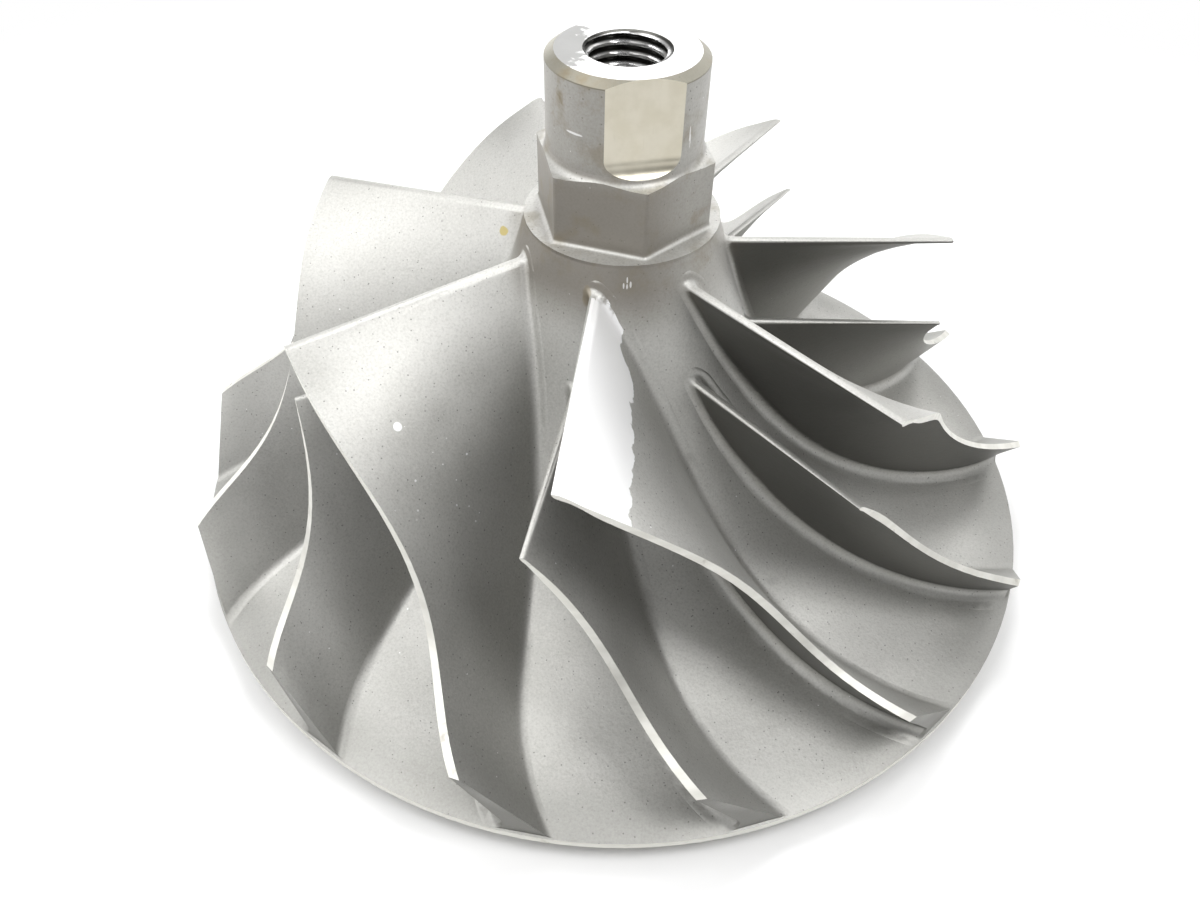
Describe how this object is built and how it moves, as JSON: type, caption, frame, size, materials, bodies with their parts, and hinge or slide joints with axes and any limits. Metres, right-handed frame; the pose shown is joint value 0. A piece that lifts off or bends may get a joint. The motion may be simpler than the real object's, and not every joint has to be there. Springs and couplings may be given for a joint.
{
  "type": "compressor wheel",
  "caption": "Cast and machined centrifugal compressor wheel with backswept full blades and splitter blades, a spanner hexagon and a threaded nose.",
  "frame": {"origin": "centre of the flat rear hub face, which is the lowest point of the wheel", "axes": "+Z along the bore axis, from the rear hub face to the nose; the wheel turns about Z"},
  "size_m": [0.12, 0.12, 0.0679],
  "materials": {
    "cast_aluminium": "fine blasted casting with turned edges and nose"
  },
  "bodies": {
    "root": {"compressor_wheel": "cast_aluminium"}
  },
  "joints": []
}
